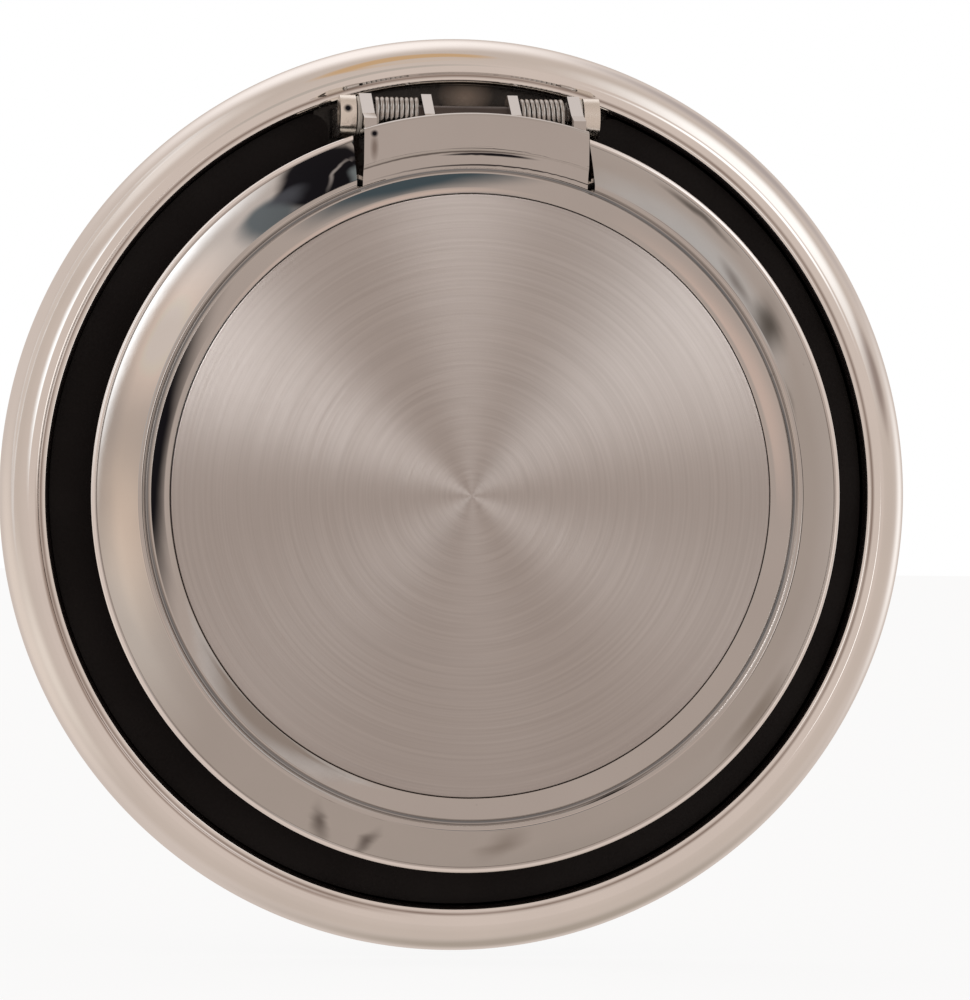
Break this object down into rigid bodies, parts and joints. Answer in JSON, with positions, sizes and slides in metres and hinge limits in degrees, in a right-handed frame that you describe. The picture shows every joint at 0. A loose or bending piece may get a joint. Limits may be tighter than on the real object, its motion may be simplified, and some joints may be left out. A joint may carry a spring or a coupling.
{
  "type": "flip-open filler cap",
  "caption": "Round chrome flip-open filler cap: bezel ring, black channel, hinged spring-lifted lid with a brushed disc, snap catch, throat seal and bayonet lock ring behind.",
  "frame": {"origin": "on the cap's axis, in the plane of the panel's face where the gasket's back rests", "axes": "-Y outward along the cap's axis, +Z from the axis towards the lid's hinge, +X to the right as seen from outside"},
  "size_m": [0.127, 0.0356, 0.127],
  "materials": {
    "chrome_plate": "polished chrome plate on die-cast zinc",
    "brushed_disc": "stainless sheet brushed in circles",
    "black_liner": "matte black moulding",
    "black_rubber": "matte rubber",
    "cast_alloy": "die-cast alloy, as cast and tumbled",
    "machined_alloy": "turned and clear anodised",
    "steel_hardware": "stainless fasteners and pin",
    "spring_wire": "drawn stainless spring wire",
    "pressed_steel": "stamped stainless sheet",
    "turned_brass": "turned brass",
    "white_nylon": "natural nylon"
  },
  "bodies": {
    "base": {"outer_bezel": "chrome_plate", "base_housing": "cast_alloy", "channel_surround": "black_liner", "rim_seal": "black_rubber", "panel_gasket": "black_rubber", "neck_gasket": "black_rubber", "seat_ring": "turned_brass", "bezel_screws": "steel_hardware", "hinge_pin": "steel_hardware", "hinge_springs": "spring_wire", "ring_retainer": "pressed_steel", "retainer_screws": "steel_hardware", "latch_guide": "cast_alloy", "latch_guide_screws": "steel_hardware", "latch_spring": "spring_wire"},
    "lid": {"lid_rim": "chrome_plate", "lid_disc": "brushed_disc", "hinge_arm": "chrome_plate", "hinge_rivets": "steel_hardware", "hinge_bushes": "white_nylon", "latch_striker": "pressed_steel", "striker_rivets": "steel_hardware", "seal_stud": "steel_hardware", "seal_spring": "spring_wire"},
    "seal_carrier": {"seal_plate": "pressed_steel", "seal_ring": "black_rubber"},
    "catch_bolt": {"latch_bolt": "turned_brass"},
    "lock": {"lock_ring": "machined_alloy"}
  },
  "joints": [
    {"name": "lid_hinge", "type": "hinge", "parent": "base", "child": "lid", "pos_m": [0, -0.012, 0.0522], "axis": [-1, 0, 0], "range_deg": [0, 105], "deforming": ["hinge_springs"]},
    {"name": "seal_float", "type": "slide", "parent": "lid", "child": "seal_carrier", "axis": [0, -1, 0], "range_m": [0, 0.0012], "deforming": ["seal_spring"]},
    {"name": "latch_slide", "type": "slide", "parent": "base", "child": "catch_bolt", "axis": [0, 0, -1], "range_m": [0, 0.0022], "deforming": ["latch_spring"]},
    {"name": "lock_ring_turn", "type": "hinge", "parent": "base", "child": "lock", "pos_m": [0, 0, 0], "axis": [0, 1, 0], "range_deg": [0, 75]}
  ]
}
